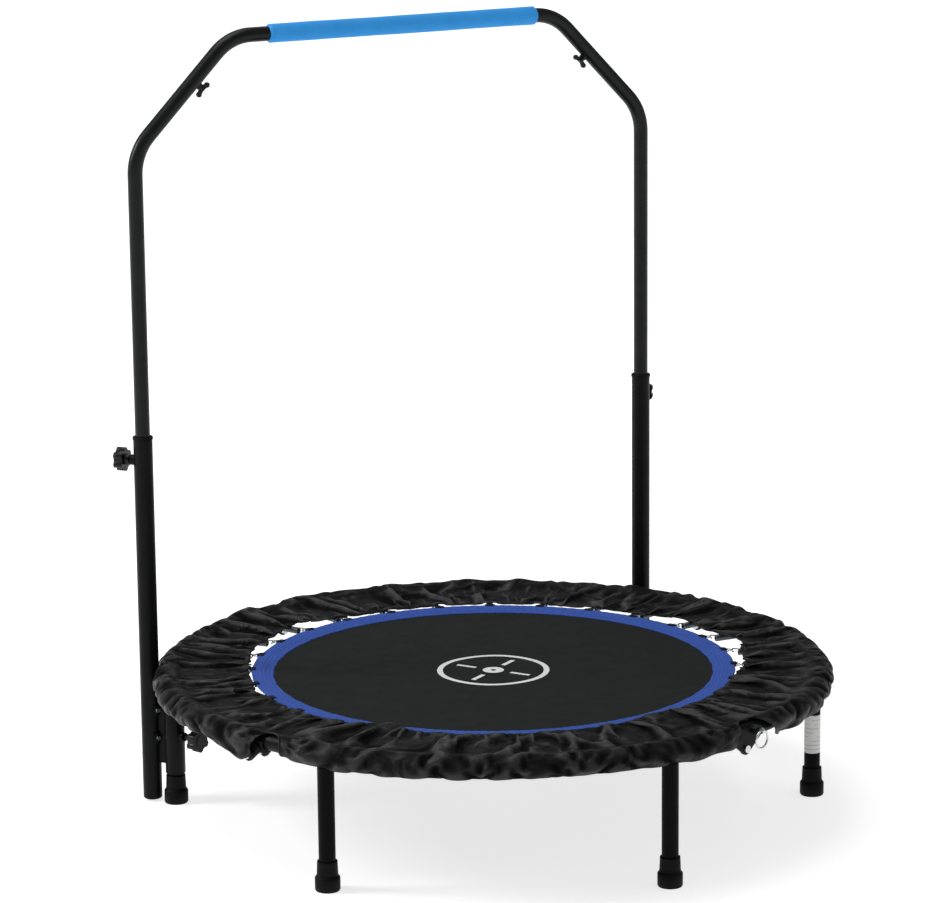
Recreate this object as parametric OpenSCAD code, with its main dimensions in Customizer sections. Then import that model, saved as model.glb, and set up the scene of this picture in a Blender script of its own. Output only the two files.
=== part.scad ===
// Folding mini trampoline with a height-adjustable handlebar.
// Origin: centre of the mat, on the floor.  +Z is up, +Y points to the handlebar.
// Round the ring, angles run anticlockwise from +X.  All sizes are in millimetres.

/* [Ring frame] */
// Radius of the ring tube's centre line
ring_r = 480; // [470:1:490]
// Height of the ring tube's centre line above the floor
ring_z = 200; // [196:1:204]
// Outside diameter of the ring tube
tube_d = 25.4; // [25:0.1:25.6]
// Wall thickness of every steel tube
wall = 1.5; // [1.2:0.1:1.6]
// Distance of the hinge bolt below the ring tube's centre line
pivot_drop = 21; // [20:1:22]

/* [Legs] */
// Outside diameter of a leg tube
leg_d = 24; // [23:0.5:24.5]
// Diameter of a rubber foot at the floor
foot_d = 36; // [32:1:40]
// Height of a rubber foot
foot_h = 43; // [38:1:46]

/* [Jumping mat] */
// Radius of the bare black mat inside the band
mat_r = 329; // [320:1:332]
// Width of the stitched blue band
band_w = 33; // [30:1:36]
// Height of the mat's top face
mat_z = 205; // [204:1:206]
// Springs round the mat, a whole number for each quarter
spring_count = 28; // [20:4:28]

/* [Cover] */
// Outside radius of the fabric cover
cover_r = 507.5; // [507:0.5:510]
// Radius of the elastic inner edge of the cover
cover_inner_r = 375; // [370:1:380]

/* [Handlebar] */
// Outside diameter of a lower post
post_d = 28.6; // [28:0.1:29]
// Height of the top of a lower post
post_top = 557; // [530:1:580]
// Outside diameter of the uprights and the top bar
bar_d = 22.2; // [21.8:0.1:22.4]
// Height of the top bar's centre line
bar_z = 1144.5; // [1120:0.5:1180]
// Radius of the bends in the uprights and the top bar
bend_r = 80; // [60:1:90]
// Outside diameter of the foam grip
grip_d = 28; // [26:0.5:32]

/* [Hidden] */
$fn = 64;

// Directions round the ring
hinge_right = 15;
hinge_back = 105;
hinge_left = 195;
hinge_front = 285;
hinges = [hinge_right, hinge_back, hinge_left, hinge_front];
quarter = 90;
fold_a = hinge_right;              // the fold axis runs through the right and left hinges
half_gap = 0.4;                    // each half stops this far from the fold axis
legs = [30, 90, 150, 210, 270, 330];
post_leg_right = 30;
post_leg_left = 150;

// Clearances
gap = 0.3;                         // between pieces that move past each other
run = 0.06;                        // radial play of a pin or bolt in its hole
tube_r = tube_d / 2;

// Hinge plates, in the hinge's own axes: x outwards, y round the ring, z up from the tube centre
plate_t = 2;
bracket_x = 14.8;                  // inner face of the outer plates
tongue_x = 12.9;                   // inner face of the inner plates
tongue_t = bracket_x - gap - tongue_x;
lobe_r = 9;
bolt_r = 4;
rivet_r = 2.5;
rivet_y = [12, 24];
saddle_low = -14.5;
saddle_high = -6;
pin_y = 18;
pin_z = 4;
pin_r = 3;
pin_tip_x = 12.6;
housing_x = bracket_x + plate_t;
housing_len = 9.2;
cavity_r = 5.3;
cavity_x = [18, 24.6];
collar_t = 1;
eye_x = 30;
ring_mid_r = 12.5;
ring_wire_r = 1.5;

// Legs
boss_r = 10;
boss_low = 181;
stud_r = 4.9;
stud_len = 34;
leg_top = boss_low - gap;
leg_low = 5;

// Mat, rings, springs
mat_t = 1.5;
band_t = 1.4;
band_r = mat_r + band_w;
wire_r = 1.1;
mat_ring_r = 5.5;
mat_ring_at = band_r + mat_ring_r + wire_r + 0.2;
coil_r = 5.5;
coil_bore_r = 3.9;
coil_from = 384;
coil_to = 452;
coil_wall_mid = (coil_r + coil_bore_r) / 2;
spring_z = mat_z - coil_wall_mid;
hook_end = ring_r - 9.5;
hook_hole_r = 1.7;

// Handlebar
post_off = 39.1;                   // from the leg's axis to the post's axis
post_turn = 128.6;                 // direction of that offset on the left, mirrored on the right
post_r = post_d / 2;
post_bore_r = post_r - wall;
post_low = 5;
post_left = post_leg_xy(post_leg_left) + post_off * dir(post_turn);
span = abs(post_left[0]);
post_y = post_left[1];
bar_r = bar_d / 2;
bar_bore_r = bar_r - wall;
bend_a = 45;
bend_run = bend_r * tan(bend_a / 2);
swell = 0.03;                      // a bend's wall is this much thicker on both faces
lap = 1;                           // each straight tube runs this far into a bend's wall
slant_low_z = 984;                 // corner where the upright's line meets the slant
slant_high_x = span - (bar_z - slant_low_z);
seam_at = 119;                     // from that corner, along the slant, to the telescoped seam
slant_len = (bar_z - slant_low_z) * sqrt(2);
upright_low = 330;
swage_r = 9.4;
swage_len = 45;
knob_z = 525;
hole_r = 4.3;
hole_pitch = 50;
hole_count = 4;
stem_r = 4;
height_knob_at = 28;
clamp_knob_at = 40;
clamp_turn = -70;                  // the clamp knob's direction on the left, mirrored on the right
clamp_z = 105;
sleeve_bore_r = 12.6;
sleeve_r = 15;
sleeve_z = [47, 168];
ear_r = post_r + 3;
ear_half_a = 48;
ear_z = [100, 143];
ear_h = 16;
screw_a = 28;
screw_r = 2;
web_t = 6;
web_z = [60, 161];
wing_at = 21;                      // from the seam to the wing screw
wing_r = 3;
grip_x = [-218, 245];

function dir(a) = [cos(a), sin(a)];
function post_leg_xy(a) = ring_r * dir(a);
// Touching point, on a circle of radius r round c, of the line from p; side is 1 or -1
function tangent(p, c, r, side) =
    let (d = p - c, a = atan2(d[1], d[0]) - side * acos(r / norm(d)))
    c + r * dir(a);

// ---------- Helpers ----------

module at_ring(a, r = ring_r, z = 0) rotate([0, 0, a]) translate([r, 0, z]) children();

// A bar of radius r along +x, from x0 to x1
module rod_x(r, x0, x1) translate([x0, 0, 0]) rotate([0, 90, 0]) cylinder(r = r, h = x1 - x0);

module tube(r_out, r_in, h) difference() {
    cylinder(r = r_out, h = h);
    translate([0, 0, -1]) cylinder(r = r_in, h = h + 2);
}

// The part of a piece behind (side 1) or in front of (side -1) the fold axis
module half(side) intersection() {
    children();
    rotate([0, 0, fold_a]) translate([-600, side > 0 ? half_gap : -600 - half_gap, 0]) cube([1200, 600, 300]);
}

// Moves a piece from the hinge's own axes to its place on the ring
module at_hinge(a) at_ring(a, ring_r, ring_z) children();

// The ring tube's outside, in a hinge's own axes
module ring_here() translate([-ring_r, 0, 0])
    rotate_extrude($fn = 180) translate([ring_r, 0]) circle(r = tube_r);

module rivet_holes(side) for (y = rivet_y) translate([0, side * y, 0]) rod_x(rivet_r, -30, 30);

module lobed_knob(thick) {
    lobes = 6;
    linear_extrude(thick) union() {
        circle(r = 14.5);
        for (i = [0 : lobes - 1]) rotate(i * 360 / lobes) translate([12.5, 0]) circle(r = 5.5);
    }
    translate([0, 0, thick]) cylinder(r = 9, h = 1);
    translate([0, 0, -6.5]) cylinder(r = 8, h = 6.5);
}

// ---------- Ring frame ----------

// A quarter of the ring tube with its welded leg bosses and studs
module ring_arc(from_a) color("#1b1b1c") {
    butt_a = 0.25 / ring_r * 180 / PI;
    pitch = 360 / spring_count;
    difference() {
        union() {
            translate([0, 0, ring_z]) rotate([0, 0, from_a + butt_a])
                rotate_extrude(angle = quarter - 2 * butt_a, $fn = 180) translate([ring_r, 0]) circle(r = tube_r);
            for (a = legs) if (a > from_a && a < from_a + quarter || a + 360 > from_a && a + 360 < from_a + quarter)
                at_ring(a) {
                    translate([0, 0, boss_low]) cylinder(r = boss_r, h = ring_z - boss_low);
                    translate([0, 0, boss_low - stud_len]) cylinder(r = stud_r, h = stud_len + 1);
                }
        }
        translate([0, 0, ring_z]) rotate([0, 0, from_a - 1])
            rotate_extrude(angle = quarter + 2, $fn = 180) translate([ring_r, 0]) circle(r = tube_r - wall);
        for (i = [0 : spring_count / 4 - 1]) rotate([0, 0, from_a + pitch * (i + 0.5)])
            translate([0, 0, mat_z]) rod_x(hook_hole_r, ring_r - tube_r - 2, ring_r);
        at_hinge(from_a) rivet_holes(1);
        at_hinge(from_a + quarter) rivet_holes(-1);
    }
}

// Outline of the outer hinge plate: a V with a round tip at the bolt
module bracket_outline(with_pin) {
    tip = [0, -pivot_drop];
    left = [-30, -8];
    right = with_pin ? [30, -8] : [24, -8];
    // without a pin, the corner over the tongue is cut off, so that the cover clears it as the frame folds
    corner = with_pin ? [[30, 8]] : [[24, -6.5], [6, 8]];
    difference() {
        union() {
            translate(tip) circle(r = lobe_r);
            polygon([[-30, 8], left, tangent(left, tip, lobe_r, -1), tangent(right, tip, lobe_r, 1), right,
                each corner]);
        }
        translate(tip) circle(r = bolt_r);
        for (y = rivet_y) translate([-y, 0]) circle(r = rivet_r);
        if (with_pin) translate([pin_y, pin_z]) circle(r = pin_r + run);
    }
}

// Outer hinge bracket, fixed to the tube on its -y side
module hinge_bracket(with_pin) {
    for (x = [bracket_x, -bracket_x - plate_t])
        translate([x, 0, 0]) rotate([90, 0, 90]) linear_extrude(plate_t) bracket_outline(with_pin && x > 0);
    difference() {
        translate([-bracket_x, -30, saddle_low]) cube([2 * bracket_x, 22, saddle_high - saddle_low]);
        ring_here();
        rivet_holes(-1);
    }
    if (with_pin) translate([0, pin_y, pin_z]) difference() {
        rod_x(cavity_r + 1.7, housing_x, housing_x + housing_len);
        rod_x(pin_r + run, housing_x - 1, housing_x + housing_len + 1);
        rod_x(cavity_r, cavity_x[0], cavity_x[1]);
    }
}

// Inner hinge plates, fixed to the tube on the +y side
module hinge_tongue(with_pin) difference() {
    tip = [0, -pivot_drop];
    right = [28, -8];
    union() {
        for (x = [tongue_x, -tongue_x - tongue_t])
            translate([x, 0, 0]) rotate([90, 0, 90]) linear_extrude(tongue_t) union() {
                translate(tip) circle(r = lobe_r);
                polygon([[1.5, 3], tip - [lobe_r, 0], tip, tangent(right, tip, lobe_r, 1), right, [28, 3]]);
                if (with_pin) translate([pin_y, pin_z]) circle(r = 6);
            }
        translate([-tongue_x, 8, saddle_low]) cube([2 * tongue_x, 20, saddle_high - saddle_low]);
    }
    ring_here();
    translate([0, 0, -pivot_drop]) rod_x(bolt_r + run, -30, 30);
    rivet_holes(1);
    if (with_pin) translate([0, pin_y, pin_z]) rod_x(pin_r + run, 0, 30);
}

// Bolt with a round head outside and a hexagon nut inside
module pivot_bolt() translate([0, 0, -pivot_drop]) {
    rod_x(bolt_r, -bracket_x - plate_t - 6, bracket_x + plate_t);
    rod_x(5.5, bracket_x + plate_t, bracket_x + plate_t + 3.5);
    translate([-bracket_x - plate_t - 5, 0, 0]) rotate([0, 90, 0]) difference() {
        cylinder(r = 7, h = 5, $fn = 6);
        translate([0, 0, -1]) cylinder(r = bolt_r, h = 7);
    }
}

// Headed rivets on the bracket's side of a hinge, flush ones on the tongue's side
module bracket_rivets() for (y = rivet_y) translate([0, -y, 0]) {
    rod_x(rivet_r, -bracket_x - plate_t, bracket_x + plate_t);
    rod_x(4.2, bracket_x + plate_t, bracket_x + plate_t + 1.8);
    rod_x(4.2, -bracket_x - plate_t - 1.8, -bracket_x - plate_t);
}
module tongue_rivets() for (y = rivet_y)
    translate([0, y, 0]) rod_x(rivet_r, -tongue_x - tongue_t, tongue_x + tongue_t);

module hinge_fasteners_rear() color("#b8bcc0") {
    for (a = [hinge_right, hinge_back, hinge_left]) at_hinge(a) pivot_bolt();
    at_hinge(hinge_right) mirror([0, 1, 0]) bracket_rivets();
    at_hinge(hinge_left) bracket_rivets();
    at_hinge(hinge_back) {
        bracket_rivets();
        tongue_rivets();
    }
}
module hinge_fasteners_front() color("#b8bcc0") {
    at_hinge(hinge_front) {
        pivot_bolt();
        bracket_rivets();
        tongue_rivets();
    }
    at_hinge(hinge_right) mirror([0, 1, 0]) tongue_rivets();
    at_hinge(hinge_left) tongue_rivets();
}

// Sprung locking pin: tip, collar, shank and a flat eye for the pull ring
module pull_pin() color("#a9adb0") translate([0, pin_y, pin_z]) difference() {
    union() {
        rod_x(pin_r, pin_tip_x, eye_x - 1);
        rod_x(cavity_r - 0.1, cavity_x[0] + 0.1, cavity_x[0] + 0.1 + collar_t);
        translate([eye_x, 2, 0]) rotate([90, 0, 0]) cylinder(r = 4.2, h = 4);
    }
    translate([eye_x, 5, 0]) rotate([90, 0, 0]) cylinder(r = 1.9, h = 10);
}
module pull_ring() color("#d3d6d8") translate([eye_x, pin_y, pin_z - ring_mid_r])
    rotate([0, 90, 0]) rotate_extrude() translate([ring_mid_r, 0]) circle(r = ring_wire_r);
module pin_spring() color("#8d9194") translate([0, pin_y, pin_z]) {
    x0 = cavity_x[0] + 0.1 + collar_t;
    translate([x0, 0, 0]) rotate([0, 90, 0]) tube(cavity_r - 0.3, pin_r + 0.4, cavity_x[1] - x0);
}

// ---------- Legs ----------

module leg() color("#171718") difference() {
    translate([0, 0, leg_low]) cylinder(r = leg_d / 2, h = leg_top - leg_low);
    translate([0, 0, leg_low - 1]) cylinder(r = leg_d / 2 - wall, h = leg_top - leg_low - 13);
    translate([0, 0, leg_top - 20]) cylinder(r = stud_r + gap, h = 30);
}
module foot() color("#0f0f10") difference() {
    union() {
        cylinder(r1 = foot_d / 2 - 1.2, r2 = foot_d / 2, h = 2);
        translate([0, 0, 2]) cylinder(r = foot_d / 2, h = 17);
        translate([0, 0, 19]) cylinder(r1 = foot_d / 2, r2 = 15.2, h = 4);
        translate([0, 0, 23]) cylinder(r1 = 15.2, r2 = 14.4, h = foot_h - 23);
    }
    translate([0, 0, leg_low]) cylinder(r = leg_d / 2, h = foot_h);
}
// Blank sticker wrapped round one leg
module leg_label() color("#d9dad6") at_ring(330) rotate([0, 0, 110])
    translate([0, 0, 67]) rotate_extrude(angle = 300) translate([leg_d / 2, 0]) square([0.2, 59]);

// ---------- Mat, rings, springs ----------

module mat(side) color("#2b2c2a") half(side)
    translate([0, 0, mat_z - mat_t]) cylinder(r = band_r, h = mat_t, $fn = 180);
module mat_band(side) color("#3559a8") half(side) translate([0, 0, mat_z]) difference() {
    cylinder(r = band_r, h = band_t, $fn = 180);
    translate([0, 0, -1]) cylinder(r = mat_r, h = band_t + 2, $fn = 180);
}

// Places one piece for each spring of a half: side 1 behind the fold axis, -1 in front of it
module each_spring(side) {
    pitch = 360 / spring_count;
    for (i = [0 : spring_count / 2 - 1])
        rotate([0, 0, fold_a + (side > 0 ? 0 : 180) + pitch * (i + 0.5)]) children();
}
module mat_rings(side) color("#9a9ea1") each_spring(side) translate([mat_ring_at, 0, mat_z])
    rotate_extrude($fn = 24) translate([mat_ring_r, 0]) circle(r = wire_r, $fn = 16);
module springs(side) color("#6f7476") each_spring(side) translate([0, 0, spring_z]) {
    difference() {
        rod_x(coil_r, coil_from, coil_to, $fn = 24);
        rod_x(coil_bore_r, coil_from - 1, coil_to + 1, $fn = 24);
    }
    translate([0, 0, coil_wall_mid]) {
        rod_x(0.75, mat_ring_at + mat_ring_r + wire_r + 0.1, coil_from + 2, $fn = 16);
        rod_x(0.75, coil_to - 2, hook_end, $fn = 16);
    }
}

// ---------- Cover ----------

// Fabric from the elastic inner edge, over the ring tube and down to the hem
module cover_profile() {
    cr = cover_r;
    polygon([
        [cover_inner_r, 212], [cr - 97.5, 215], [cr - 57.5, 218], [cr - 32, 219], [cr - 15, 216],
        [cr - 4, 208.5], [cr, 200], [cr - 1, 191.5], [cr - 6, 184.5], [cr - 13, 181],
        [cr - 12.5, 184], [cr - 8, 187], [cr - 4, 192.5], [cr - 3, 199.5], [cr - 6.5, 206.5], [cr - 16.5, 213.7],
        [cr - 32, 216.5], [cr - 57.5, 215.5], [cr - 97.5, 212.5], [cover_inner_r, 209.5]
    ]);
}
module cover(side) color("#1a1b1c") half(side) difference() {
    rotate_extrude($fn = 180) cover_profile();
    // openings in the skirt at the hinges, taller where a pull pin stands out
    for (a = hinges) {
        pinned = a == hinge_back || a == hinge_front;
        at_ring(a, ring_r + 6, 150) translate([0, -34, 0]) cube([40, 70, (pinned ? 213 : 205) - 150]);
    }
    // hollows for the two posts
    for (s = [-1, 1]) translate([s * span, post_y, 150]) cylinder(r = post_r + 1.2, h = 80);
}

// ---------- Handlebar ----------

// Draws the left-hand piece, or its mirror image on the right
module on_side(s) if (s > 0) mirror([1, 0, 0]) children(); else children();
module at_post() translate([-span, post_y, 0]) children();
module at_post_leg() at_ring(post_leg_left) rotate([0, 0, -post_leg_left]) children();

// Places a piece whose stem runs along +x, in direction a at height z
module stem_out(a, z) translate([0, 0, z]) rotate([0, 0, a]) children();

module screw_places() for (z = ear_z, s = [-1, 1]) stem_out(post_turn + 180 + s * screw_a, z) children();

module lower_post() color("#161617") at_post() difference() {
    union() {
        translate([0, 0, post_low]) cylinder(r = post_r, h = post_top - post_low);
        stem_out(post_turn, knob_z) rod_x(8, 0, post_r + 5.2);
    }
    translate([0, 0, post_low - 1]) cylinder(r = post_bore_r, h = post_top);
    stem_out(post_turn, knob_z) rod_x(hole_r, 0, 40);
    screw_places() rod_x(screw_r, 0, 20);
}

// Sleeve over the leg, with a web and two ears that hold the post
module clamp_bracket() color("#161617") {
    web_mid = (web_z[0] + web_z[1]) / 2;
    difference() {
        union() {
            at_post_leg() {
                translate([0, 0, sleeve_z[0]]) cylinder(r = sleeve_r, h = sleeve_z[1] - sleeve_z[0]);
                stem_out(clamp_turn, clamp_z) rod_x(7, 0, sleeve_r + 6);
                stem_out(post_turn, web_mid) translate([12, -web_t / 2, web_z[0] - web_mid])
                    cube([14, web_t, web_z[1] - web_z[0]]);
            }
            at_post() for (z = ear_z) translate([0, 0, z - ear_h / 2])
                rotate([0, 0, post_turn + 180 - ear_half_a]) rotate_extrude(angle = 2 * ear_half_a)
                    translate([post_r, 0]) square([ear_r - post_r, ear_h]);
        }
        at_post_leg() translate([0, 0, sleeve_z[0] - 1]) cylinder(r = sleeve_bore_r, h = 150);
        at_post_leg() stem_out(clamp_turn, clamp_z) rod_x(hole_r, 0, 40);
        at_post() translate([0, 0, post_low]) cylinder(r = post_r, h = post_top);
        at_post() screw_places() rod_x(screw_r, 0, 20);
    }
}
module bracket_screws() color("#b8bcc0") for (s = [-1, 1]) on_side(s) at_post() screw_places() {
    rod_x(screw_r, post_bore_r, ear_r);
    rod_x(3.4, ear_r, ear_r + 2.4);
}
module post_bushings() color("#0d0d0e") for (s = [-1, 1]) on_side(s) at_post() difference() {
    union() {
        translate([0, 0, post_top]) cylinder(r = post_r + 0.9, h = 4);
        translate([0, 0, post_top + 4]) cylinder(r1 = post_r + 0.9, r2 = post_r - 0.4, h = 1);
        translate([0, 0, post_top - 20]) cylinder(r = post_bore_r, h = 21);
    }
    translate([0, 0, post_top - 30]) cylinder(r = bar_r + gap, h = 50);
}
module post_end_caps() color("#0d0d0e") for (s = [-1, 1]) on_side(s) at_post() {
    translate([0, 0, 3]) cylinder(r1 = post_r - 2, r2 = post_r, h = 2);
    translate([0, 0, post_low]) cylinder(r = post_bore_r, h = 14);
}

// A knob whose stem presses on a tube of radius r_tube; its hub starts at `from`
module knob_on_stem(r_tube, from) {
    rod_x(stem_r, r_tube + 0.35, from);
    translate([from, 0, 0]) rotate([0, 90, 0]) lobed_knob(14);
}
module height_knob() color("#101011") at_post() stem_out(post_turn, knob_z) knob_on_stem(bar_r, height_knob_at);
module clamp_knob() color("#101011") at_post_leg() stem_out(clamp_turn, clamp_z)
    knob_on_stem(leg_d / 2, clamp_knob_at);

// Hollow bend of 45 degrees: starts at the origin going +z, and turns towards +x
module bend() translate([bend_r, 0, 0]) rotate([90, 0, 0]) rotate([0, 0, 180 - bend_a])
    rotate_extrude(angle = bend_a, $fn = 96) translate([bend_r, 0]) difference() {
        circle(r = bar_r + swell);
        circle(r = bar_bore_r - swell);
    }

// Axes at the lower corner and at the seam: +z runs up the slant, +x points down and inwards
module at_slant() translate([-span, post_y, slant_low_z]) rotate([0, bend_a, 0]) children();
module at_seam() at_slant() translate([0, 0, seam_at]) children();

// Upright: a straight tube with the height holes, a bend, and a slant with a swaged end
module upright() color("#161617") union() {
    low_end = slant_low_z - bend_run;
    shoulder = 2;
    at_post() difference() {
        translate([0, 0, upright_low]) tube(bar_r, bar_bore_r, low_end - upright_low + lap);
        for (i = [0 : hole_count - 1]) stem_out(post_turn, knob_z + i * hole_pitch) rod_x(hole_r, 0, 20);
    }
    at_post() translate([0, 0, low_end]) bend();
    at_slant() translate([0, 0, bend_run - lap]) tube(bar_r, bar_bore_r, seam_at - shoulder - bend_run + lap);
    at_seam() translate([0, 0, -shoulder]) tube(bar_r, swage_r - wall, shoulder);
    at_seam() tube(swage_r, swage_r - wall, swage_len);
}

// Half of the top bar: a slant with the wing screw's boss, and a bend
module top_bar_half() {
    slant_run = slant_len - seam_at - bend_run;
    at_seam() difference() {
        union() {
            cylinder(r = bar_r, h = slant_run + lap);
            translate([0, 0, wing_at]) rod_x(5.5, 0, bar_r + 3);
        }
        translate([0, 0, -1]) cylinder(r = bar_bore_r, h = slant_run + lap + 2);
        translate([0, 0, wing_at]) rod_x(wing_r + gap, 0, 30);
    }
    at_seam() translate([0, 0, slant_run]) bend();
}
module top_bar() color("#161617") union() {
    straight = slant_high_x - bend_run + lap;
    for (s = [-1, 1]) on_side(s) top_bar_half();
    translate([-straight, post_y, bar_z]) rotate([0, 90, 0]) tube(bar_r, bar_bore_r, 2 * straight);
}
module foam_grip() color("#3a8ad0") translate([0, post_y, bar_z]) difference() {
    rod_x(grip_d / 2, grip_x[0], grip_x[1]);
    rod_x(bar_r, grip_x[0] - 1, grip_x[1] + 1);
}

// Small wing screw under the slant: stem, hub and two rounded ears
module wing_screw() color("#101011") at_seam() translate([0, 0, wing_at]) {
    rod_x(wing_r, swage_r + gap, 20);
    rod_x(4.6, bar_r + 3.3, bar_r + 10);
    for (s = [-1, 1]) translate([0, 1.8, 0]) rotate([90, 0, 0]) linear_extrude(3.6) union() {
        translate([bar_r + 9.5, s * 9.5]) circle(r = 4);
        polygon([[bar_r + 4, 0], [bar_r + 6, s * 9.5], [bar_r + 13, s * 9.5], [bar_r + 10, 0]]);
    }
}

// ---------- Nodes ----------

ring_arc(hinge_right);  // ring_arc_back_right
ring_arc(hinge_back);  // ring_arc_back_left
ring_arc(hinge_left);  // ring_arc_front_left
ring_arc(hinge_front);  // ring_arc_front_right
color("#19191a") at_hinge(hinge_right)  // hinge_bracket_right
    mirror([0, 1, 0]) hinge_bracket(false);
color("#19191a") at_hinge(hinge_back) hinge_bracket(true);  // hinge_bracket_back
color("#19191a") at_hinge(hinge_left) hinge_bracket(false);  // hinge_bracket_left
color("#19191a") at_hinge(hinge_front) hinge_bracket(true);  // hinge_bracket_front
color("#202021") at_hinge(hinge_right)  // hinge_tongue_right
    mirror([0, 1, 0]) hinge_tongue(false);
color("#202021") at_hinge(hinge_back) hinge_tongue(true);  // hinge_tongue_back
color("#202021") at_hinge(hinge_left) hinge_tongue(false);  // hinge_tongue_left
color("#202021") at_hinge(hinge_front) hinge_tongue(true);  // hinge_tongue_front
hinge_fasteners_rear();
hinge_fasteners_front();
at_hinge(hinge_back) pull_pin();  // pull_pin_back
at_hinge(hinge_front) pull_pin();  // pull_pin_front
at_hinge(hinge_back) pull_ring();  // pull_ring_back
at_hinge(hinge_front) pull_ring();  // pull_ring_front
at_hinge(hinge_back) pin_spring();  // pin_spring_back
at_hinge(hinge_front) pin_spring();  // pin_spring_front
at_ring(post_leg_right) leg();  // leg_post_right
at_ring(90) leg();  // leg_back
at_ring(post_leg_left) leg();  // leg_post_left
at_ring(210) leg();  // leg_front_left
at_ring(270) leg();  // leg_front
at_ring(330) leg();  // leg_right
at_ring(post_leg_right) foot();  // foot_post_right
at_ring(90) foot();  // foot_back
at_ring(post_leg_left) foot();  // foot_post_left
at_ring(210) foot();  // foot_front_left
at_ring(270) foot();  // foot_front
at_ring(330) foot();  // foot_right
leg_label();
mat(1);  // mat_rear
mat(-1);  // mat_front
mat_band(1);  // mat_band_rear
mat_band(-1);  // mat_band_front
mat_rings(1);  // mat_rings_rear
mat_rings(-1);  // mat_rings_front
springs(1);  // springs_rear
springs(-1);  // springs_front
cover(1);  // cover_rear
cover(-1);  // cover_front
on_side(-1) lower_post();  // lower_post_left
on_side(1) lower_post();  // lower_post_right
on_side(-1) clamp_bracket();  // clamp_bracket_left
on_side(1) clamp_bracket();  // clamp_bracket_right
bracket_screws();
post_bushings();
post_end_caps();
on_side(-1) clamp_knob();  // clamp_knob_left
on_side(1) clamp_knob();  // clamp_knob_right
on_side(-1) height_knob();  // height_knob_left
on_side(1) height_knob();  // height_knob_right
on_side(-1) upright();  // upright_left
on_side(1) upright();  // upright_right
top_bar();
foam_grip();
on_side(-1) wing_screw();  // wing_screw_left
on_side(1) wing_screw();  // wing_screw_right
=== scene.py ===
"""Looks of the folding mini trampoline with a handlebar.

Every size is in metres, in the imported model's own frame: origin on the floor under the mat's centre,
+Z up, +Y towards the handlebar. Angles round the ring run anticlockwise from +X, and the fold axis is
at 15 degrees.
"""

import math

import bpy
import numpy as np
from mathutils import Matrix, Vector


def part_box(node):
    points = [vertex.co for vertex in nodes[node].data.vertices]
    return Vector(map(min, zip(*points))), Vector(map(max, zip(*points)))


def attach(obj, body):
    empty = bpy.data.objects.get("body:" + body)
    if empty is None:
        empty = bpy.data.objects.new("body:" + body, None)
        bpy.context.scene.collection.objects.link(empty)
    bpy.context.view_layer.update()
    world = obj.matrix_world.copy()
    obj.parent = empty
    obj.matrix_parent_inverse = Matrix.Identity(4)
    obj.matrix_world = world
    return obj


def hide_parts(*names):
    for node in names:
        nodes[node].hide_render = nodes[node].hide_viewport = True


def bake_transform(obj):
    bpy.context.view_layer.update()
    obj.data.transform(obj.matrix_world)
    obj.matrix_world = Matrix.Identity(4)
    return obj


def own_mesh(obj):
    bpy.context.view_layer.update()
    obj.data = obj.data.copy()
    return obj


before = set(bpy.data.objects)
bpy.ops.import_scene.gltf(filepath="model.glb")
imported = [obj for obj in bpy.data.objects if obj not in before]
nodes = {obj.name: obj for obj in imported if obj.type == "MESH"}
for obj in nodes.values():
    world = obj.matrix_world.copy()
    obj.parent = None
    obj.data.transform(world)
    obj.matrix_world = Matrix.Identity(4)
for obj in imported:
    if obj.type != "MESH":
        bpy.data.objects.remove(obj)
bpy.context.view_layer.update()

FOLD_DEGREES = 15
FOLD = math.radians(FOLD_DEGREES)
HINGES = tuple(FOLD_DEGREES + 90 * quarter for quarter in range(4))
HALVES = ((0, "rear"), (math.pi, "front"))  # the turn from the rear half, and the half's name
SPRINGS = 28
SPRING_STEP = 360 / SPRINGS
RING_R, RING_Z, TUBE_R = 0.480, 0.200, 0.0127
MAT_R, BAND_R, MAT_Z = 0.329, 0.362, 0.205
POST_XY = (0.440086, 0.270557)
SAG = 0.0040  # the mat's level below its rings
# openings in the cover's skirt: hinge angle, offset of the middle, reach before and after it, top
OPENINGS = ((15, 0.0, 0.036, 0.036, 0.2150), (105, 0.009, 0.038, 0.033, 0.2160),
            (195, 0.042, 0.039, 0.040, 0.2165), (285, 0.013, 0.048, 0.052, 0.2175))

# ---------------------------------------------------------------- materials


def material(name, colour, roughness, metallic=0.0, **sockets):
    """A Principled material; further sockets are set by their name, with _ for a space."""
    m = bpy.data.materials.new(name)
    m.use_nodes = True
    b = m.node_tree.nodes["Principled BSDF"]
    b.inputs["Base Color"].default_value = (*colour, 1)
    b.inputs["Roughness"].default_value = roughness
    b.inputs["Metallic"].default_value = metallic
    for key, value in sockets.items():
        b.inputs[key.replace("_", " ")].default_value = value
    return m


def add(m, kind, links=(), **values):
    """Adds a node. values set its inputs or own settings; links join an input to another node's output."""
    n = m.node_tree.nodes.new("ShaderNode" + kind)
    for key, value in values.items():
        label = key.replace("_", " ")
        if label in n.inputs:
            n.inputs[label].default_value = value
        else:
            setattr(n, key, value)
    for label, out in dict(links).items():
        m.node_tree.links.new(out, n.inputs[label])
    return n


def place(m, how="Object"):
    """Texture coordinates of that kind."""
    return add(m, "TexCoord").outputs[how]


def stretched(m, how, scale, turn=0.0):
    """Coordinates multiplied along each axis, then turned about z."""
    n = add(m, "Mapping", {"Vector": place(m, how)})
    n.inputs["Scale"].default_value = scale
    n.inputs["Rotation"].default_value = (0, 0, turn)
    return n.outputs[0]


def noise(m, scale, where=None, detail=3.0, rough=0.5, distortion=0.0):
    """Grey noise over the object's own coordinates, or over others if they are given."""
    where = where or place(m)
    n = add(m, "TexNoise", {"Vector": where}, Scale=scale, Detail=detail, Roughness=rough,
            Distortion=distortion)
    return n.outputs["Fac"]


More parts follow.
